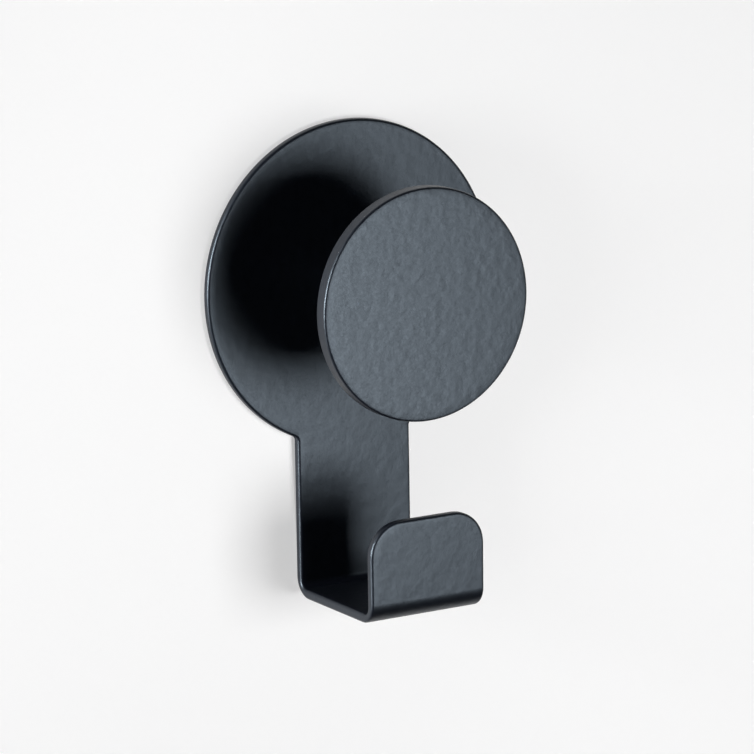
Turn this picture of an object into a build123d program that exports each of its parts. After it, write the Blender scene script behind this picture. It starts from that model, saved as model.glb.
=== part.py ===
# Wall hook: a round plate whose tongue is folded into a J-shaped hook, with a flat round knob on a post.
# Millimetres. The wall is the plane Y = 0, the hook faces -Y and +Z is up.
# The origin is the middle of the round plate, on its back face.
from build123d import *
from math import isclose, radians, tan
import os

# Folded sheet
sheet_thickness = 1.5
plate_diameter = 50.0
tongue_width = 19.8
tongue_root_radius = 0.8
hook_drop = 47.9
hook_reach = 22.5
lip_height = 15.5
lip_corner_radius = 5.2
outer_bend_radius = 3.3
inner_bend_radius = 1.1
sheet_edge_radius = 0.6

# Knob
knob_diameter = 35.2
knob_thickness = 2.5
knob_reach = 23.2
face_roll_width = 1.8
face_roll_drop = 0.12
knob_edge_radius = 0.35
knob_back_edge_radius = 0.3

# Post between the plate and the knob
post_diameter = 8.0
post_edge_chamfer = 0.3
spigot_diameter = 5.0
spigot_length = 1.2
spigot_clearance = 0.03

# Countersunk screw behind the plate
screw_diameter = 3.0
screw_length = 8.0
screw_head_diameter = 5.5
screw_head_recess = 0.1
screw_tip_chamfer = 0.4
countersink_angle = 90.0
seat_clearance = 0.05
thread_clearance = 0.05
screw_hole_clearance = 0.15
thread_runout = 1.0
thread_lead_in = 0.45
cross_slot_width = 0.75
cross_slot_length = 2.6
cross_slot_depth = 1.0

# Places of the folded sheet
plate_radius = plate_diameter / 2
fold_top = -plate_radius
hook_bottom = -hook_drop
hook_front = -hook_reach
lip_top = hook_bottom + lip_height
plate_face = -sheet_thickness
floor_face = hook_bottom + sheet_thickness
lip_face = hook_front + sheet_thickness
sheet_rounding = min(sheet_edge_radius, 0.4 * sheet_thickness)
length_tolerance = 0.001

# Places of the knob and its post
knob_radius = knob_diameter / 2
knob_front = -knob_reach
knob_back = knob_front + knob_thickness
post_foot = plate_face
post_length = post_foot - knob_back
thread_radius = screw_diameter / 2

# Places of the screw
cone_slope = tan(radians(countersink_angle / 2))
head_radius = screw_head_diameter / 2
shank_radius = thread_radius - thread_clearance
head_top = -screw_head_recess
cone_end = head_top - (head_radius - shank_radius) / cone_slope
screw_tip = head_top - screw_length
thread_depth = post_foot - screw_tip + thread_runout


def facing_wall(y):
    """The plane at depth y that looks towards the wall."""
    return Plane((0, y, 0), x_dir=(1, 0, 0), z_dir=(0, 1, 0))


def runs_through_sheet(edge):
    """True for the short straight edges that go through the sheet from its front to its back."""
    straight = edge.geom_type == GeomType.LINE
    return straight and isclose(edge.length, sheet_thickness, abs_tol=length_tolerance)


# Hook plate: the disc and the top of the tongue are one flat blank, and the fold carries the tongue on
with BuildPart() as hook_plate:
    with BuildSketch(Plane.XZ) as blank:
        Circle(plate_radius)
        with Locations((0, fold_top / 2)):
            Rectangle(tongue_width, plate_radius)
        tongue_roots = blank.vertices().group_by(Axis.Y)[1]
        fillet(tongue_roots, tongue_root_radius)
    extrude(amount=sheet_thickness)
    with BuildSketch(Plane.YZ.offset(-tongue_width / 2)):
        with BuildLine():
            outside = FilletPolyline(
                (0, fold_top),
                (0, hook_bottom),
                (hook_front, hook_bottom),
                (hook_front, lip_top),
                radius=outer_bend_radius,
            )
            inside = FilletPolyline(
                (plate_face, fold_top),
                (plate_face, floor_face),
                (lip_face, floor_face),
                (lip_face, lip_top),
                radius=inner_bend_radius,
            )
            Line(outside @ 0, inside @ 0)
            Line(outside @ 1, inside @ 1)
        make_face()
    extrude(amount=tongue_width)
    lip_corners = hook_plate.edges().filter_by(Axis.Y).group_by(Axis.Y)[0]
    fillet(lip_corners, lip_corner_radius)
    cross_lines = hook_plate.edges().filter_by(Axis.X)
    bend_lines = cross_lines - cross_lines.group_by(Axis.Z)[-1]
    sheet_corners = hook_plate.edges().filter_by(runs_through_sheet)
    fillet(hook_plate.edges() - bend_lines - sheet_corners, sheet_rounding)
    with Locations(facing_wall(0)):
        CounterSinkHole(
            radius=thread_radius + screw_hole_clearance,
            counter_sink_radius=head_radius + screw_head_recess * cone_slope + seat_clearance,
            depth=sheet_thickness,
            counter_sink_angle=countersink_angle,
        )

# Knob disc: a flat blank whose face rolls off a little towards its rounded rim
with BuildPart() as knob_disc:
    with BuildSketch(Plane.XY) as half_section:
        with BuildLine():
            face = Line((0, knob_front), (knob_radius - face_roll_width, knob_front))
            roll = TangentArc(face @ 1, (knob_radius, knob_front + face_roll_drop), tangent=face % 1)
            rim = Line(roll @ 1, (knob_radius, knob_back))
            back = Line(rim @ 1, (0, knob_back))
            Line(back @ 1, face @ 0)
        make_face()
        fillet(half_section.vertices().group_by(Axis.X)[-1].sort_by(Axis.Y)[-1], knob_back_edge_radius)
        fillet(half_section.vertices().group_by(Axis.X)[-1].sort_by(Axis.Y)[0], knob_edge_radius)
    revolve(axis=Axis.Y)
    with Locations(facing_wall(knob_back)):
        Hole(radius=spigot_diameter / 2 + spigot_clearance, depth=spigot_length)

# Knob post: a round bar with a spigot for the knob and a threaded hole for the screw
with BuildPart() as knob_post:
    with BuildSketch(Plane.XZ.offset(-post_foot)):
        Circle(post_diameter / 2)
    extrude(amount=post_length)
    chamfer(knob_post.edges().filter_by(GeomType.CIRCLE), post_edge_chamfer)
    with BuildSketch(Plane.XZ.offset(-knob_back)):
        Circle(spigot_diameter / 2)
    extrude(amount=spigot_length)
    with Locations(facing_wall(post_foot)):
        CounterSinkHole(
            radius=thread_radius,
            counter_sink_radius=thread_radius + thread_lead_in,
            depth=thread_depth,
            counter_sink_angle=countersink_angle,
        )

# Post screw: a countersunk head with a cross slot, and a plain shank in place of its thread
with BuildPart() as post_screw:
    with BuildSketch(Plane.XY):
        with BuildLine():
            Polyline(
                (0, head_top),
                (head_radius, head_top),
                (shank_radius, cone_end),
                (shank_radius, screw_tip + screw_tip_chamfer),
                (shank_radius - screw_tip_chamfer, screw_tip),
                (0, screw_tip),
                close=True,
            )
        make_face()
    revolve(axis=Axis.Y)
    with BuildSketch(facing_wall(head_top)):
        Rectangle(cross_slot_length, cross_slot_width)
        Rectangle(cross_slot_width, cross_slot_length)
    extrude(amount=-cross_slot_depth, mode=Mode.SUBTRACT)

# Write the pieces
os.makedirs("parts", exist_ok=True)
hook_plate.part.label = "hook_plate"
export_step(hook_plate.part, "parts/hook_plate.step")
knob_disc.part.label = "knob_disc"
export_step(knob_disc.part, "parts/knob_disc.step")
knob_post.part.label = "knob_post"
export_step(knob_post.part, "parts/knob_post.step")
post_screw.part.label = "post_screw"
export_step(post_screw.part, "parts/post_screw.step")
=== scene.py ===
# %% [markdown]
# # A round wall hook in black powder coat
# The hook is one folded steel sheet with a flat round knob on a short post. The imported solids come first,
# as a fixed frame in metres, and every piece below is modelled in that frame, so nothing has to be fitted
# later.

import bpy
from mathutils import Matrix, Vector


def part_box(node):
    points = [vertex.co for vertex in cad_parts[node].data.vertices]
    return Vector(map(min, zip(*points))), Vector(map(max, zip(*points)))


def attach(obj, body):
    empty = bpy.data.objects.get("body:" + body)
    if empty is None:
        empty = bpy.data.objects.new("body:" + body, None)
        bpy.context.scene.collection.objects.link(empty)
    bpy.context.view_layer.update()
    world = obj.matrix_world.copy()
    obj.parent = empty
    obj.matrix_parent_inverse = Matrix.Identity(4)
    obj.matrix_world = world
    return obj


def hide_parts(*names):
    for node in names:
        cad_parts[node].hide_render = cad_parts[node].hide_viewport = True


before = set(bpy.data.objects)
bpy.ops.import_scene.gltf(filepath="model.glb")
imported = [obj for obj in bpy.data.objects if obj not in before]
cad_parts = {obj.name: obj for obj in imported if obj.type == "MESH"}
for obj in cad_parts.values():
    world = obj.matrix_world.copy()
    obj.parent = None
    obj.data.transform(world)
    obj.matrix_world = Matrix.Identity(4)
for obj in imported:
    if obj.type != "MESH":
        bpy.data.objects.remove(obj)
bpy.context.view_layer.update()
print("nodes in the frame:", sorted(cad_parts))

# %% [markdown]
# ## Sizes
# A mesh that has to sit exactly where the solid sits should take its size from it. The boxes of the solids
# give the outer sizes: the sheet's thickness is where the post's foot stands, and the fold's front and
# bottom are the plate's own box. What no box can tell, such as a corner radius, is written down here in
# millimetres.

# %% Read the sizes off the frame
from math import asin, cos, pi, radians, sin, sqrt, tan

import bmesh
import bpy
from mathutils import Matrix, Vector

mm = 0.001
plate_low, plate_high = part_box("hook_plate")
knob_low, knob_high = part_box("knob_disc")
post_low, post_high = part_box("knob_post")
screw_low, screw_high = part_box("post_screw")

sheet_thickness = -post_high.y
plate_radius = plate_high.x
hook_bottom = plate_low.z
hook_front = plate_low.y
tongue_half = 9.9 * mm
lip_top = -32.4 * mm
lip_corner = 5.2 * mm
outer_bend, inner_bend = 3.3 * mm, 1.1 * mm
print("sheet %.2f mm thick, plate %.2f mm across" % (sheet_thickness / mm, 2 * plate_radius / mm))

# %% [markdown]
# ## Working by hand, in code
# An operator acts on whatever is selected, so each step first says what that is. A modeller clicks the
# parts they want; here a small test picks them, by their place or by the angle of the faces that meet
# there.

# %% Helpers for edit mode
near = 0.02 * mm
sharp_angle = radians(50)


def add_round(primitive, **more):
    """Add a circle or a cylinder whose axis lies along Y, apply its turn, and open it in edit mode."""
    bpy.ops.object.select_all(action="DESELECT")
    primitive(rotation=(pi / 2, 0, 0), **more)
    bpy.ops.object.transform_apply(location=True, rotation=True, scale=True)
    bpy.ops.object.mode_set(mode="EDIT")
    return bpy.context.object


def pick(kind, test):
    """Select the vertices, edges or faces that pass a test, and nothing else."""
    bpy.ops.mesh.select_mode(type=kind)
    bpy.ops.mesh.select_all(action="DESELECT")
    mesh = bpy.context.edit_object.data
    shape = bmesh.from_edit_mesh(mesh)
    parts = {"VERT": shape.verts, "EDGE": shape.edges, "FACE": shape.faces}[kind]
    chosen = [part for part in parts if test(part)]
    for part in chosen:
        part.select_set(True)
    shape.select_flush_mode()
    bmesh.update_edit_mesh(mesh)
    return len(chosen)


def round_edges(offset, steps):
    """Round the edges that are selected just now with an arc."""
    bpy.ops.mesh.bevel(affect="EDGES", offset=offset, segments=steps, profile=0.5, clamp_overlap=False)


def picked_points():
    """The places of the points that are selected just now."""
    mesh = bpy.context.edit_object.data
    return [vertex.co.copy() for vertex in bmesh.from_edit_mesh(mesh).verts if vertex.select]


def is_at(value, place):
    """True where a measure is the same as a place, within a hair."""
    return abs(value - place) < near


def from_axis(point):
    """How far a point is from the knob's axis, which is the Y axis."""
    return sqrt(point.x ** 2 + point.z ** 2)


def ends_at(edge, test):
    """True for an edge whose two ends both pass a test of their place."""
    return all(test(corner.co) for corner in edge.verts)


def is_sharp(edge):
    """True for an edge whose two faces meet at more than a soft bend."""
    return len(edge.link_faces) == 2 and edge.calc_face_angle() > sharp_angle


def looks_forward(face):
    """True for a face that looks away from the wall."""
    return face.normal.y < -0.9


def is_end(face, y):
    """True for the round flat end of a turned piece, at a place along its axis."""
    middle = face.calc_center_median()
    return from_axis(middle) < near and is_at(middle.y, y)


print("points closer than %.2f mm count as one place" % (near / mm))

# %% [markdown]
# Every piece ends in the same way. Smooth shading stops at the angle where a real edge would show, and
# normals weighted by area keep the large flat faces flat beside their small roundings. Then the piece is
# put in the place of its solid and tied to the body that carries it.

# %% Helpers for modifiers and for the end
smooth_angle = radians(35)
flat_weight = 80


def apply_modifier(piece, kind, **values):
    """Give a piece one modifier with the values named, and apply it."""
    modifier = piece.modifiers.new(kind.title(), kind)
    for name, value in values.items():
        setattr(modifier, name, value)
    bpy.ops.object.modifier_apply(modifier=modifier.name)


def finish_piece(piece, name, node):
    """Smooth a finished mesh, let its flat faces keep their own normals, and put it in its node's place."""
    bpy.ops.object.mode_set(mode="OBJECT")
    bpy.ops.object.shade_smooth_by_angle(angle=smooth_angle)
    apply_modifier(piece, "WEIGHTED_NORMAL", keep_sharp=True, weight=flat_weight)
    piece.name = piece.data.name = name
    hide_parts(node)
    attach(piece, "root")
    size = [length / mm for length in piece.dimensions]
    print("%s: %d faces, %.2f x %.2f x %.2f mm" % (name, len(piece.data.polygons), *size))


print("faces that meet at less than %.0f degrees are shaded as one" % (smooth_angle * 180 / pi))

# %% [markdown]
# ## The folded sheet
# The real plate is a laser-cut blank, folded twice in a press brake. It could be cut out of a box with
# booleans, but the maker's own way gives the cleaner mesh: draw the blank as a sheet with no thickness,
# fold it by spinning its edge round each bend, and only then give the whole sheet its thickness. The blank
# is bare steel, so its back lies a little in front of the wall, by the depth of the coat that comes on it
# later.

# %% Draw the blank
disc_points = 192
coat_depth = 0.035 * mm
countersink_radius = 2.9 * mm
outer_ring_width = 2.5 * mm

hook = add_round(
    bpy.ops.mesh.primitive_circle_add, vertices=disc_points, radius=countersink_radius, fill_type="NGON",
    location=(0, -coat_depth, 0))
ring_radius = countersink_radius
for next_radius in (plate_radius - outer_ring_width, plate_radius):
    share = next_radius / ring_radius
    bpy.ops.mesh.extrude_edges_move()
    bpy.ops.transform.resize(value=(share, 1, share), center_override=(0, 0, 0))
    ring_radius = next_radius

root_angle = asin(tongue_half / plate_radius)
root_height = -plate_radius * cos(root_angle)
half_step = plate_radius * pi / disc_points
for side in (-1, 1):
    root = Vector((side * tongue_half, -coat_depth, root_height))
    pick("VERT", lambda v: (v.co - root).length < half_step)
    bpy.ops.transform.translate(value=root - picked_points()[0])
print("blank: a ring of", disc_points, "points, two of them at the tongue's roots")

# %% [markdown]
# The tongue hangs from the two root points. Both are extruded down to where the first bend begins, and the
# space between them and the disc's lower arc is filled with one flat face.

# %% Hang the tongue from the disc
bend_height = hook_bottom + outer_bend


def under_disc(point):
    """True on the disc's lower arc between the roots, and at the tongue's lower end."""
    on_arc = is_at(from_axis(point), plate_radius) and point.z < root_height + near
    return on_arc or is_at(point.z, bend_height)


pick("VERT", lambda v: is_at(abs(v.co.x), tongue_half) and is_at(v.co.z, root_height))
bpy.ops.mesh.extrude_vertices_move(TRANSFORM_OT_translate={"value": (0, 0, bend_height - root_height)})
bpy.ops.mesh.edge_face_add()
tongue_edges = pick("EDGE", lambda e: ends_at(e, under_disc))
bpy.ops.mesh.edge_face_add()
print("tongue: one flat face with", tongue_edges, "edges")

# %% [markdown]
# ## Two bends and a lip
# Spin sweeps an edge round an axis, just as the press brake folds a sheet over its die. The edge goes a
# quarter turn, then straight on for the hook's floor, a second quarter turn, and straight up to the top of
# the lip, where a bevel rounds the two corners.

# %% Fold the tongue into a hook
bend_steps = 16
corner_steps = 14
bare_bottom, bare_front = hook_bottom + coat_depth, hook_front + coat_depth
floor_front = hook_front + outer_bend


def pick_end(y, z):
    """Pick the tongue's end edge, which has come to a place in the side view."""
    pick("EDGE", lambda e: ends_at(e, lambda p: is_at(p.y, y) and is_at(p.z, z)))


def fold(y, z, axis_y):
    """Spin the tongue's end edge a quarter turn round a bend's axis."""
    pick_end(y, z)
    bpy.ops.mesh.spin(steps=bend_steps, angle=pi / 2, center=(0, axis_y, bend_height), axis=(1, 0, 0))


def straight_on(y, z, travel):
    """Carry the tongue's end edge straight on."""
    pick_end(y, z)
    bpy.ops.mesh.extrude_edges_move(TRANSFORM_OT_translate={"value": travel})


fold(-coat_depth, bend_height, -outer_bend)
straight_on(-outer_bend, bare_bottom, (0, floor_front + outer_bend, 0))
fold(floor_front, bare_bottom, floor_front)
straight_on(bare_front, bend_height, (0, 0, lip_top - bend_height))

pick("VERT", lambda v: is_at(v.co.y, bare_front) and is_at(v.co.z, lip_top))
bpy.ops.mesh.bevel(
    affect="VERTICES", offset=lip_corner, segments=corner_steps, profile=0.5, clamp_overlap=False)
points = [v.co for v in bmesh.from_edit_mesh(hook.data).verts]
lowest, foremost = min(p.z for p in points), min(p.y for p in points)
print("hook: bottom at %.2f mm, lip's front at %.2f mm" % (lowest / mm, foremost / mm))

# %% [markdown]
# ## Thickness
# Solidify gives the sheet its thickness on the inner side of the folds. A press stretches a sheet as it
# folds it, so the inside of a bend is tighter than its thickness alone would make it: the inner arc of each
# bend is drawn towards its corner, which keeps it an arc.

# %% Thicken the sheet
bare_thickness = sheet_thickness - 2 * coat_depth


def draw_in_bend(corner_y, way):
    """Draw a bend's inner arc towards the corner where the inner faces would meet."""
    corner_z = hook_bottom + coat_depth + bare_thickness
    arc_radius = outer_bend - coat_depth - bare_thickness
    share = (inner_bend + coat_depth) / arc_radius

    def in_arc(point):
        across, up = way * (point.y - corner_y), point.z - corner_z
        return -near < across < arc_radius + near and -near < up < arc_radius + near

    rows = pick("VERT", lambda v: in_arc(v.co))
    bpy.ops.transform.resize(value=(1, share, share), center_override=(0, corner_y, corner_z))
    print("bend: %d points drawn in" % rows)


bpy.ops.mesh.select_all(action="SELECT")
bpy.ops.mesh.remove_doubles(threshold=near / 10)
bpy.ops.mesh.normals_make_consistent(inside=False)
if pick("FACE", lambda f: is_at(f.calc_center_median().y, -coat_depth) and f.normal.y < 0):
    bpy.ops.mesh.select_all(action="SELECT")
    bpy.ops.mesh.flip_normals()
bpy.ops.object.mode_set(mode="OBJECT")
apply_modifier(hook, "SOLIDIFY", thickness=bare_thickness, offset=-1, use_even_offset=True)
bpy.ops.object.mode_set(mode="EDIT")
draw_in_bend(-coat_depth - bare_thickness, -1)
draw_in_bend(hook_front + coat_depth + bare_thickness, 1)
print("bare sheet: %.2f mm thick" % (bare_thickness / mm))

# %% [markdown]
# The corners where the tongue leaves the disc are cut with a small radius, because a sharp inner corner
# would tear as the sheet is loaded. A bevel takes its offset along the two edges, so the radius is turned
# into that length first.

# %% Round the two roots
root_radius = 0.8 * mm
edge_steps = 8

root_edges = pick(
    "EDGE", lambda e: ends_at(e, lambda p: is_at(abs(p.x), tongue_half) and is_at(p.z, root_height)))
root_reach = root_radius * tan((pi / 2 - root_angle) / 2)
round_edges(root_reach, edge_steps)
bpy.ops.mesh.select_all(action="SELECT")
bpy.ops.mesh.remove_doubles(threshold=near)
print("roots: %d edges rounded to %.1f mm" % (root_edges, root_radius / mm))

# %% [markdown]
# ## The coat
# Powder melts into a skin that draws back from an edge, so a coated face is flat in the middle and rolls
# off over the last millimetre or two. The thin bright lines that run along the rim of the real hook are
# reflections in that roll, so it is modelled and not left to a bump in the material. It is drawn by insets
# that follow the outline, and these need clear faces: the narrow ones next to the two roots are taken out
# first.

# %% Clear the faces round the two roots
root_zone = 2.6 * mm
least_through, most_through = 0.7, 1.2


def is_through(edge):
    """True for an edge that runs through the sheet, where a bend has thinned it too."""
    first, second = [corner.co for corner in edge.verts]
    return is_at(first.x, second.x) and least_through < edge.calc_length() / bare_thickness < most_through


def is_rim(face):
    """True for the narrow faces that run round the sheet between its front and its back."""
    return any(is_sharp(edge) for edge in face.edges) and all(
        is_sharp(edge) or is_through(edge) for edge in face.edges)


def is_by_root(edge):
    """True for an edge inside the front or the back that lies next to one of the tongue's roots."""
    ends = [corner.co for corner in edge.verts]
    gaps = [sqrt((abs(p.x) - tongue_half) ** 2 + (p.z - root_height) ** 2) for p in ends]
    outside = max(from_axis(p) for p in ends) > plate_radius - outer_ring_width + near
    return min(gaps) < root_zone and outside and not any(is_rim(face) for face in edge.link_faces)


cleared = pick("EDGE", is_by_root)
bpy.ops.mesh.dissolve_edges(use_verts=True)
print("roots:", cleared, "inner edges taken out")

# %% [markdown]
# Each inset of the faces raises what lies inside it by a smaller step than the one before, which draws the
# roll. Together the steps are as high as the coat is deep.

# %% Lay the coat on the faces
roll_steps = ((0.65 * mm, 0.03 * mm), (0.35 * mm, 0.004 * mm), (0.4 * mm, 0.001 * mm))

pick("FACE", lambda f: not is_rim(f))
for width, rise in roll_steps:
    bpy.ops.mesh.inset(thickness=width, depth=rise)
print("coat: %d rings along the outline" % len(roll_steps))

# %% [markdown]
# The melted coat also ran a little before it set. Along the left-hand edges of the hook it is drawn thin,
# and along the right-hand edges it stands in a faint bead. Turning the first two rings of each front face
# by a fraction of a degree about their upright middle line does both at once.

# %% Let the coat run to one side
ring_runs = 0.02 * mm, 0.05 * mm
ring_depth = 0.1 * mm
front_y = -coat_depth - bare_thickness
front_faces = (
    (front_y, root_height, plate_radius, plate_radius),
    (front_y, bend_height + near, root_height - root_radius, tongue_half),
    (bare_front, bend_height + near, lip_top + near, tongue_half))


def is_by_face(point, y, low, high):
    """True for a point on or close to a front face, between two heights."""
    return abs(point.y - y) < ring_depth and low < point.z <= high


def on_outline(vertex):
    """True for a point on the sheet's outline."""
    return any(is_sharp(edge) for edge in vertex.link_edges)


def by_outline(vertex):
    """True for a point of the first ring inside the outline."""
    return not on_outline(vertex) and any(on_outline(edge.other_vert(vertex)) for edge in vertex.link_edges)


for ring, run in zip((by_outline, on_outline), ring_runs):
    for y, low, high, reach in front_faces:
        turned = pick("VERT", lambda v: is_by_face(v.co, y, low, high) and ring(v))
        bpy.ops.transform.rotate(value=run / reach, orient_axis="Z", center_override=(0, y, 0))
        lead = y - max(picked_points(), key=lambda point: point.x).y
        print("%d points turned, the right-hand one lies %.3f mm in front" % (turned, lead / mm))

# %% [markdown]
# Under its coat a cut edge is never sharp. A bevel rounds every edge of the outline, at the front and at
# the back. It leaves the bends alone, because their faces meet at a softer angle than the one that counts
# as sharp.

# %% Round the edges
edge_rounding = 0.42 * mm

outline = pick("EDGE", is_sharp)
round_edges(edge_rounding, edge_steps)
print("outline:", outline, "edges rounded")

# %% [markdown]
# ## A countersink for the screw
# The plate is screwed to the post from behind, with a flat head that sinks into a cone so the back can lie
# flush on the wall. Bridging the two round faces in the middle of the disc opens a hole. Its front rim is
# drawn in, and a bisect leaves a short straight land below the cone.

# %% Sink the hole
hole_radius = 1.65 * mm
cone_end = countersink_radius - hole_radius


def in_hole(point):
    """True on the rim of the countersink and inside it."""
    return from_axis(point) < countersink_radius + near


pick("FACE", lambda f: is_end(f, 0) or is_end(f, -sheet_thickness))
bpy.ops.mesh.bridge_edge_loops()
pick("VERT", lambda v: in_hole(v.co) and is_at(v.co.y, -sheet_thickness))
draw_in = hole_radius / countersink_radius
bpy.ops.transform.resize(value=(draw_in, 1, draw_in), center_override=(0, 0, 0))
pick("FACE", lambda f: all(in_hole(corner.co) for corner in f.verts))
bpy.ops.mesh.bisect(plane_co=(0, -cone_end, 0), plane_no=(0, 1, 0))
pick("VERT", lambda v: in_hole(v.co) and is_at(v.co.y, -cone_end))
draw_in = hole_radius / from_axis(picked_points()[0])
bpy.ops.transform.resize(value=(draw_in, 1, draw_in), center_override=(0, 0, 0))
bpy.ops.mesh.select_all(action="SELECT")
bpy.ops.mesh.normals_make_consistent(inside=False)
finish_piece(hook, "hook_sheet", "hook_plate")

# %% [markdown]
# ## The knob
# The knob is a thick disc whose face rolls off a little before its rounded rim. It starts as a cylinder.
# Each inset of the face moves it forward by a smaller step, which draws the roll as an arc. Its coat ran to
# the right as the sheet's did, so its two outermost rings are turned by the same amounts.

# %% Model the knob
knob_points = 192
knob_radius = knob_high.x
knob_front, knob_back = knob_low.y, knob_high.y
roll_width, roll_drop, roll_rings = 1.8 * mm, 0.09 * mm, 3

blank_depth = knob_back - knob_front - roll_drop
knob = add_round(
    bpy.ops.mesh.primitive_cylinder_add, vertices=knob_points, radius=knob_radius, depth=blank_depth,
    location=(0, knob_back - blank_depth / 2, 0))
pick("FACE", looks_forward)
ring_width = roll_width / roll_rings
for step in range(roll_rings):
    left, still = 1 - step / roll_rings, 1 - (step + 1) / roll_rings
    rise = roll_drop * (left ** 2 - still ** 2)
    bpy.ops.mesh.inset(thickness=ring_width)
    bpy.ops.transform.translate(value=(0, -rise, 0))

knob_middle = (knob_front + knob_back) / 2
for radius, run in zip((knob_radius - ring_width, knob_radius), ring_runs):
    pick("VERT", lambda v: is_at(from_axis(v.co), radius) and v.co.y < knob_middle)
    bpy.ops.transform.rotate(value=run / radius, orient_axis="Z", center_override=(0, knob_front, 0))
print("knob: its face rolls off %.2f mm over %.1f mm" % (roll_drop / mm, roll_width / mm))

# %% [markdown]
# The two edges of the rim are bevelled, the front one a little more. The post's spigot sits in a blind seat
# in the knob's back: the back face is inset to the seat's width and pushed in.

# %% Round the rim and sink the seat
front_rounding, back_rounding = 0.34 * mm, 0.3 * mm
seat_radius = 2.53 * mm
seat_depth = knob_back - post_low.y

for rounding, side in ((front_rounding, -1), (back_rounding, 1)):
    pick("EDGE", lambda e: is_sharp(e) and ends_at(e, lambda p: side * (p.y - knob_middle) > 0))
    round_edges(rounding, edge_steps)
pick("FACE", lambda f: is_end(f, knob_back))
bpy.ops.mesh.inset(thickness=knob_radius - back_rounding - seat_radius)
bpy.ops.mesh.extrude_region_move(TRANSFORM_OT_translate={"value": (0, -seat_depth, 0)})
finish_piece(knob, "knob", "knob_disc")

# %% [markdown]
# ## The post
# A turned bar, with a small chamfer at each end where it meets the plate and the knob. The spigot is an
# inset of its front end drawn out, and the screw's hole an inset of its foot pushed in.

# %% Turn the post
post_points = 96
post_radius = post_high.x
chamfer, chamfer_steps = 0.3 * mm, 3
spigot_radius = 2.5 * mm
thread_radius = 1.5 * mm
lead_in = 0.45 * mm
thread_depth = 7.6 * mm
post_length = post_high.y - knob_back

post = add_round(
    bpy.ops.mesh.primitive_cylinder_add, vertices=post_points, radius=post_radius, depth=post_length,
    location=(0, post_high.y - post_length / 2, 0))
pick("EDGE", is_sharp)
round_edges(chamfer, chamfer_steps)
pick("FACE", lambda f: is_end(f, knob_back))
bpy.ops.mesh.inset(thickness=post_radius - chamfer - spigot_radius)
bpy.ops.mesh.extrude_region_move(TRANSFORM_OT_translate={"value": (0, post_low.y - knob_back, 0)})
pick("FACE", lambda f: is_end(f, post_high.y))
bpy.ops.mesh.inset(thickness=post_radius - chamfer - thread_radius - lead_in)
bpy.ops.mesh.inset(thickness=lead_in, depth=-lead_in)
bpy.ops.mesh.extrude_region_move(TRANSFORM_OT_translate={"value": (0, lead_in - thread_depth, 0)})
finish_piece(post, "post", "knob_post")

# %% [markdown]
# ## The screw
# A small countersunk screw holds the post from behind. Only its flat head shows, in the plate's back. Its
# outline is turned: the head's face is extruded along the axis and resized at each step, which gives the
# cone, the shank and the chamfered tip.

# %% Turn the screw
screw_points = 64
head_radius = screw_high.x
shank_radius = 1.45 * mm
tip_chamfer = 0.4 * mm
head_edge = 0.06 * mm

screw = add_round(
    bpy.ops.mesh.primitive_circle_add, vertices=screw_points, radius=head_radius, fill_type="NGON",
    location=(0, screw_high.y, 0))
turned_outline = (
    (screw_high.y - (head_radius - shank_radius), shank_radius),
    (screw_low.y + tip_chamfer, shank_radius),
    (screw_low.y, shank_radius - tip_chamfer))
last_y, last_radius = screw_high.y, head_radius
for y, radius in turned_outline:
    bpy.ops.mesh.extrude_region_move(TRANSFORM_OT_translate={"value": (0, y - last_y, 0)})
    share = radius / last_radius
    bpy.ops.transform.resize(value=(share, 1, share), center_override=(0, y, 0))
    last_y, last_radius = y, radius
bpy.ops.mesh.select_all(action="SELECT")
bpy.ops.mesh.normals_make_consistent(inside=False)
pick("EDGE", lambda e: is_sharp(e) and ends_at(e, lambda p: is_at(p.y, screw_high.y)))
round_edges(head_edge, chamfer_steps)
bpy.ops.object.mode_set(mode="OBJECT")
print("screw: %.1f mm long, head %.1f mm across" % (screw.dimensions.y / mm, screw.dimensions.x / mm))

# %% [markdown]
# The cross recess is punched into the head with a tapered tool. The tool is a cube drawn out into a bar,
# narrower at its foot, and a copy of it turned by a quarter. A boolean takes it out of the head.

# %% Punch the cross recess
cross_length, cross_width, cross_depth = 2.6 * mm, 0.75 * mm, 1.0 * mm
punch_taper = 0.45, 1, 0.7

punch_size = 2 * cross_depth
bpy.ops.object.select_all(action="DESELECT")
bpy.ops.mesh.primitive_cube_add(size=punch_size, location=(0, screw_high.y, 0))
bpy.ops.object.transform_apply(location=True, rotation=False, scale=False)
punch = bpy.context.object
bpy.ops.object.mode_set(mode="EDIT")
bpy.ops.transform.resize(value=(cross_length / punch_size, 1, cross_width / punch_size))
pick("FACE", looks_forward)
bpy.ops.transform.resize(value=punch_taper)
bpy.ops.mesh.select_all(action="SELECT")
bpy.ops.mesh.duplicate()
bpy.ops.transform.rotate(value=pi / 2, orient_axis="Y", center_override=(0, 0, 0))
bpy.ops.object.mode_set(mode="OBJECT")
bpy.ops.object.select_all(action="DESELECT")
screw.select_set(True)
bpy.context.view_layer.objects.active = screw
apply_modifier(screw, "BOOLEAN", operation="DIFFERENCE", object=punch, solver="EXACT", use_self=True)
bpy.ops.object.select_all(action="DESELECT")
punch.select_set(True)
bpy.ops.object.delete()
screw.select_set(True)
bpy.context.view_layer.objects.active = screw
bpy.ops.object.mode_set(mode="EDIT")
finish_piece(screw, "screw", "post_screw")

# %% [markdown]
# ## A fine mottle for every finish
# No finish is quite even: powder coat, zinc and wall paint all vary a little over fractions of a
# millimetre. The effect is the same in all three, so it is built once, as a node group. Its sockets are the
# grain's scale and the two values it swings between. It reads Object coordinates, so the grain keeps its
# size on every piece.

# %% Build the mottle group
grain_detail = 3
grain_low, grain_high = 0.3, 0.7


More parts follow.
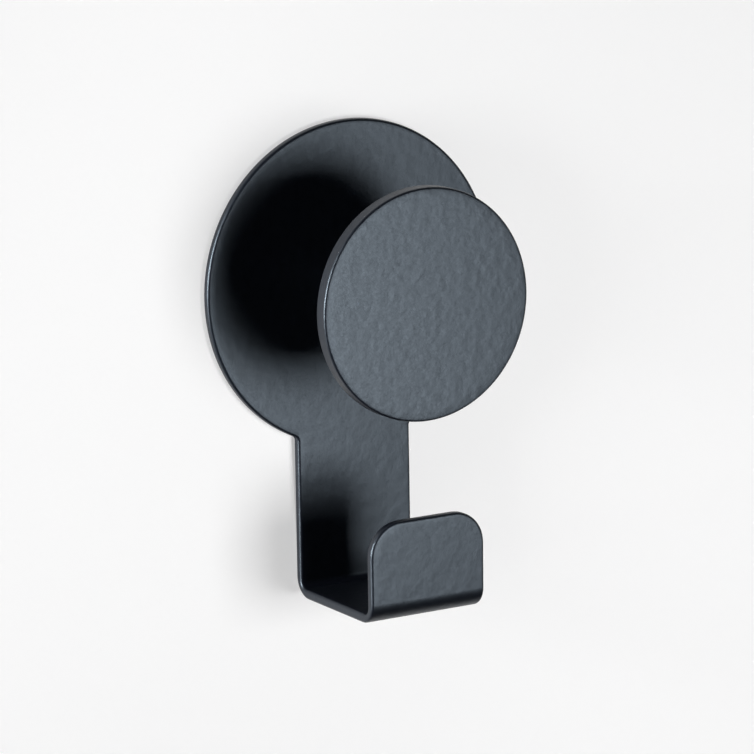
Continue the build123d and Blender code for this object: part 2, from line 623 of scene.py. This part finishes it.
def start_group(name, inputs, output):
    """A new node group with its number sockets, and the nodes at its two ends."""
    group = bpy.data.node_groups.new(name, "ShaderNodeTree")
    for socket_name, start in inputs.items():
        socket = group.interface.new_socket(socket_name, in_out="INPUT", socket_type="NodeSocketFloat")
        socket.default_value = start
    group.interface.new_socket(output, in_out="OUTPUT", socket_type="NodeSocketFloat")
    return group, group.nodes.new("NodeGroupInput"), group.nodes.new("NodeGroupOutput")


mottle, given, result = start_group("fine_mottle", {"Scale": 1000, "Low": 0, "High": 1}, "Value")
place = mottle.nodes.new("ShaderNodeTexCoord")
grain = mottle.nodes.new("ShaderNodeTexNoise")
grain.inputs["Detail"].default_value = grain_detail
spread = mottle.nodes.new("ShaderNodeMapRange")
spread.inputs["From Min"].default_value = grain_low
spread.inputs["From Max"].default_value = grain_high
mottle.links.new(place.outputs["Object"], grain.inputs["Vector"])
mottle.links.new(given.outputs["Scale"], grain.inputs["Scale"])
mottle.links.new(grain.outputs["Fac"], spread.inputs["Value"])
mottle.links.new(given.outputs["Low"], spread.inputs["To Min"])
mottle.links.new(given.outputs["High"], spread.inputs["To Max"])
mottle.links.new(spread.outputs["Result"], result.inputs["Value"])
print("mottle group with", len(mottle.nodes), "nodes")

# %% [markdown]
# ## Orange peel
# Powder melts and levels, but not fully: it sets in soft waves a millimetre or two long, which break up
# every reflection in the coat. Makers call it orange peel. The group adds a little fine grain to a noise
# with long waves and scales the sum to a depth in millimetres. It puts out a height, and the bump that
# reads it stays in the material.

# %% Build the orange peel group
wave_scale, wave_detail = 560, 1.5
grain_scale, grain_height = 2600, 0.06


def add_group(nodes, tree, values):
    """Put a node group among other nodes and set its sockets."""
    group = nodes.new("ShaderNodeGroup")
    group.node_tree = tree
    for socket_name, value in values.items():
        group.inputs[socket_name].default_value = value
    return group


def join(tree, operation, first, second):
    """Join two sockets by a Math node, and give back the socket it puts out."""
    node = tree.nodes.new("ShaderNodeMath")
    node.operation = operation
    tree.links.new(first, node.inputs[0])
    tree.links.new(second, node.inputs[1])
    return node.outputs["Value"]


peel, given, result = start_group("orange_peel", {"Wave Scale": wave_scale, "Depth": 0.05}, "Height")
place = peel.nodes.new("ShaderNodeTexCoord")
waves = peel.nodes.new("ShaderNodeTexNoise")
waves.inputs["Detail"].default_value = wave_detail
fine = add_group(peel.nodes, mottle, {"Scale": grain_scale, "Low": 0, "High": grain_height})
peel.links.new(place.outputs["Object"], waves.inputs["Vector"])
peel.links.new(given.outputs["Wave Scale"], waves.inputs["Scale"])
height = join(peel, "ADD", waves.outputs["Fac"], fine.outputs["Value"])
scaled = join(peel, "MULTIPLY", height, given.outputs["Depth"])
peel.links.new(scaled, result.inputs["Height"])
print("orange peel: waves about %.1f mm long" % (1 / (wave_scale * mm)))

# %% [markdown]
# ## Black powder coat
# The colour is close to black, with a trace of blue, so what the eye sees is mostly the reflection of the
# lamps. The sheet and the knob go through the oven apart, and the knob comes out with the deeper orange
# peel. Both coats are mixed by one function, which takes that depth.

# %% Mix the two coats
coat_black, coat_tint = (0.0008, 0.0011, 0.003, 1), (0.76, 0.88, 1.0, 1)
sheen_low, sheen_high = 0.38, 0.44
sheet_peel, knob_peel = 0.045, 0.068


def start_material(name):
    """A new material, with its nodes, its links and its shader."""
    material = bpy.data.materials.new(name)
    material.use_nodes = True
    tree = material.node_tree
    return material, tree.nodes, tree.links, tree.nodes["Principled BSDF"]


def mix_coat(name, depth, pieces):
    """A black powder coat with orange peel of a depth in millimetres, laid on some pieces."""
    coat, nodes, links, shader = start_material(name)
    shader.inputs["Base Color"].default_value = coat_black
    shader.inputs["Specular Tint"].default_value = coat_tint
    sheen = add_group(nodes, mottle, {"Scale": grain_scale, "Low": sheen_low, "High": sheen_high})
    links.new(sheen.outputs["Value"], shader.inputs["Roughness"])
    skin = add_group(nodes, peel, {"Wave Scale": wave_scale, "Depth": depth})
    bump = nodes.new("ShaderNodeBump")
    bump.inputs["Distance"].default_value = mm
    links.new(skin.outputs["Height"], bump.inputs["Height"])
    links.new(bump.outputs["Normal"], shader.inputs["Normal"])
    for piece in pieces:
        piece.data.materials.clear()
        piece.data.materials.append(coat)
    print("%s: orange peel %.3f mm deep on %d pieces" % (name, depth, len(pieces)))


mix_coat("sheet_powder_coat", sheet_peel, (hook, post))
mix_coat("knob_powder_coat", knob_peel, (knob,))

# %% [markdown]
# ## Zinc on the screw
# The screw is zinc-plated steel: a metal, with a crystal grain that makes its gloss uneven. The mottle
# group is used once more, finer than on the coat.

# %% Plate the screw
zinc_grey = 0.62, 0.62, 0.6, 1
crystal_scale, zinc_low, zinc_high = 4000, 0.25, 0.4

zinc, nodes, links, shader = start_material("zinc_plate")
shader.inputs["Base Color"].default_value = zinc_grey
shader.inputs["Metallic"].default_value = 1
sheen = add_group(nodes, mottle, {"Scale": crystal_scale, "Low": zinc_low, "High": zinc_high})
links.new(sheen.outputs["Value"], shader.inputs["Roughness"])
screw.data.materials.clear()
screw.data.materials.append(zinc)
print("zinc on", screw.name)

# %% [markdown]
# ## The camera
# The hook is seen from its left and a little from above, through a long lens from about 0.7 m, so its
# upright lines stay almost parallel. The camera could be set by eye. Here it turns round a point on the
# wall, by an angle to the side, one upwards and a trace of roll, because each of these three can be
# corrected without spoiling the others.

# %% Place the camera
turn, tilt, roll = radians(-31.004), radians(12.174), radians(-0.890)
camera_distance = 713.6 * mm
camera_target = Vector((5.053 * mm, 0, -15.581 * mm))
lens_length, sensor_width = 222.54, 36

sideways, upwards = Matrix.Rotation(turn, 4, "Z"), Matrix.Rotation(pi / 2 - tilt, 4, "X")
camera_turn = sideways @ upwards @ Matrix.Rotation(roll, 4, "Z")
bpy.ops.object.camera_add(
    location=camera_target + camera_turn @ Vector((0, 0, camera_distance)), rotation=camera_turn.to_euler())
camera = bpy.context.object
camera.data.lens = lens_length
camera.data.sensor_width = sensor_width
bpy.context.scene.camera = camera
print("camera: %.0f mm from the wall, %.0f mm lens" % (-camera.location.y / mm, camera.data.lens))

# %% [markdown]
# ## White wall paint
# The wall behind the hook is matt white paint, bright enough to read as plain white. More light would wash
# out the hook, so the wall itself glows a little, and only for rays that the camera, a reflection or a
# glass sends out. The hook is then lit by the lamps alone, and its soft shadows stay on the wall. The glow
# falls a little from the upper left to the lower right, as daylight from a window does, and a trace of
# warmth in the paint evens out the cool lamps.

# %% Mix the wall paint
paint_white = 0.526, 0.51, 0.5, 1
paint_scale, matt_low, matt_high = 900, 0.8, 0.95
glow_upper_left, glow_lower_right = 0.53, 0.425
glow_from, glow_to = -80 * mm, 60 * mm
glow_fall = 1, 0, -0.6

wall_paint, nodes, links, shader = start_material("wall_paint")
tree = wall_paint.node_tree
shader.inputs["Base Color"].default_value = paint_white
shader.inputs["Specular IOR Level"].default_value = 0
shader.inputs["Emission Color"].default_value = (1, 1, 1, 1)
matt = add_group(nodes, mottle, {"Scale": paint_scale, "Low": matt_low, "High": matt_high})
links.new(matt.outputs["Value"], shader.inputs["Roughness"])
place = nodes.new("ShaderNodeTexCoord")
across = nodes.new("ShaderNodeVectorMath")
across.operation = "DOT_PRODUCT"
across.inputs[1].default_value = glow_fall
links.new(place.outputs["Object"], across.inputs[0])
fade = nodes.new("ShaderNodeMapRange")
fade.interpolation_type = "SMOOTHSTEP"
fade_values = glow_from, glow_to, glow_upper_left, glow_lower_right
for socket_name, value in zip(("From Min", "From Max", "To Min", "To Max"), fade_values):
    fade.inputs[socket_name].default_value = value
links.new(across.outputs["Value"], fade.inputs["Value"])
rays = nodes.new("ShaderNodeLightPath")
seen = join(tree, "MAXIMUM", rays.outputs["Is Camera Ray"], rays.outputs["Is Glossy Ray"])
seen_too = join(tree, "MAXIMUM", seen, rays.outputs["Is Transmission Ray"])
glow = join(tree, "MULTIPLY", seen_too, fade.outputs["Result"])
links.new(glow, shader.inputs["Emission Strength"])
print("wall paint: glow %.3f at the upper left, %.3f lower right" % (glow_upper_left, glow_lower_right))

# %% [markdown]
# A wall would hide the hook in every view from behind. So the paint is see-through from its back, where the
# face that a ray meets is turned away from it.

# %% Clear the paint's back
clear = nodes.new("ShaderNodeBsdfTransparent")
facing = nodes.new("ShaderNodeNewGeometry")
mix = nodes.new("ShaderNodeMixShader")
links.new(facing.outputs["Backfacing"], mix.inputs["Fac"])
links.new(shader.outputs["BSDF"], mix.inputs[1])
links.new(clear.outputs["BSDF"], mix.inputs[2])
links.new(mix.outputs["Shader"], nodes["Material Output"].inputs["Surface"])
print("wall paint with", len(nodes), "nodes")

# %% [markdown]
# ## The wall and the floor
# A wall in one plane would still lie close behind the plate, whose back would mirror it. So it gets an
# opening that the plate hides from the front: a ring with the plate's outline, drawn in by the rounding of
# the edge, whose lower points are pulled down behind the tongue. Extruding that ring outwards makes the
# wall round it.

# %% Build the wall round an opening
wall_gap = 0.2 * mm
wall_points = 192
wall_reach = 50
opening_radius = plate_radius - edge_rounding
opening_half = tongue_half - edge_rounding
opening_end = bend_height + edge_rounding

wall = add_round(
    bpy.ops.mesh.primitive_circle_add, vertices=wall_points, radius=opening_radius,
    location=(0, wall_gap, 0))
lowered = pick("VERT", lambda v: abs(v.co.x) < opening_half and v.co.z < 0)
bpy.ops.transform.resize(value=(1, 1, 0), center_override=(0, 0, opening_end))
widest = max(point.x for point in picked_points())
bpy.ops.transform.resize(value=(opening_half / widest, 1, 1), center_override=(0, 0, 0))
bpy.ops.mesh.select_all(action="SELECT")
bpy.ops.mesh.extrude_edges_move()
bpy.ops.transform.resize(value=(wall_reach, 1, wall_reach), center_override=(0, 0, 0))
if pick("FACE", lambda f: f.normal.y > 0):
    bpy.ops.mesh.flip_normals()
bpy.ops.object.mode_set(mode="OBJECT")
wall.name = "wall"
wall.data.materials.append(wall_paint)
print("wall: %d points, %d of them behind the tongue" % (len(wall.data.vertices), lowered))

# %% [markdown]
# The floor is a plain plane far below the hook. It keeps out of the coat's reflections, because the dark
# underside of the real hook shows none.

# %% Lay the floor
floor_size, floor_height = 6, -0.6

bpy.ops.object.select_all(action="DESELECT")
bpy.ops.mesh.primitive_plane_add(size=floor_size, location=(0, 0, floor_height))
floor = bpy.context.object
floor.name = "floor"
floor.data.materials.append(wall_paint)
floor.visible_glossy = False
print("floor: %.1f m across, %.1f m below the plate's middle" % (floor_size, -floor_height))

# %% [markdown]
# ## The lamps
# A black gloss shows little of its own colour, so the lamps draw this hook. A soft box in front, just right
# of the middle, is mirrored by the flat faces and turns them grey-blue; where the knob and the lip stand in
# its way, the sheet behind them stays black. A tall strip at the far left grazes the wall and draws the
# fine bright line on every left-hand rim. A box behind the wall lights the back. A lamp's power is worked
# out from how bright its face should look, so a lamp can change its size without changing what the coat
# mirrors.

# %% Stand the lamps
lamp_aim = Vector((0, -10 * mm, -10 * mm))
cool_white, plain_white = (0.95, 0.98, 1.0), (1.0, 1.0, 1.0)


def add_softbox(name, azimuth, elevation, distance, width, height, radiance, colour):
    """Stand a soft box round the hook, azimuth to the right of straight ahead, and turn it to the hook."""
    a, e = radians(azimuth), radians(elevation)
    away = Vector((sin(a) * cos(e), -cos(a) * cos(e), sin(e)))
    bpy.ops.object.select_all(action="DESELECT")
    bpy.ops.object.light_add(
        type="AREA", location=lamp_aim + away * distance, rotation=away.to_track_quat("Z", "Y").to_euler())
    lamp = bpy.context.object
    lamp.name = name
    lamp.data.shape = "RECTANGLE"
    lamp.data.size, lamp.data.size_y = width, height
    lamp.data.energy = 4 * radiance * width * height
    lamp.data.color = colour
    lamp.visible_camera = False
    print("%s: %.2f W" % (name, lamp.data.energy))


add_softbox(
    "main_softbox", azimuth=18.6, elevation=-7.6, distance=0.3, width=0.132, height=0.15, radiance=9.5,
    colour=cool_white)
add_softbox(
    "left_softbox", azimuth=-87.7, elevation=7, distance=1.0, width=0.08, height=0.5, radiance=185,
    colour=cool_white)
add_softbox(
    "back_softbox", azimuth=160, elevation=25, distance=1.2, width=1.0, height=1.0, radiance=3,
    colour=plain_white)

# %% [markdown]
# The rest of the room is almost dark, with a trace of blue, and that trace is all the light the black areas
# have. The Standard view shows colours as they are mixed.

# %% Dim the room
room_colour = 0.012, 0.014, 0.022

world = bpy.data.worlds.new("dim_room")
bpy.context.scene.world = world
world.use_nodes = True
world.node_tree.nodes["Background"].inputs["Color"].default_value = (*room_colour, 1)
bpy.context.scene.view_settings.view_transform = "Standard"
print("room colour", room_colour)
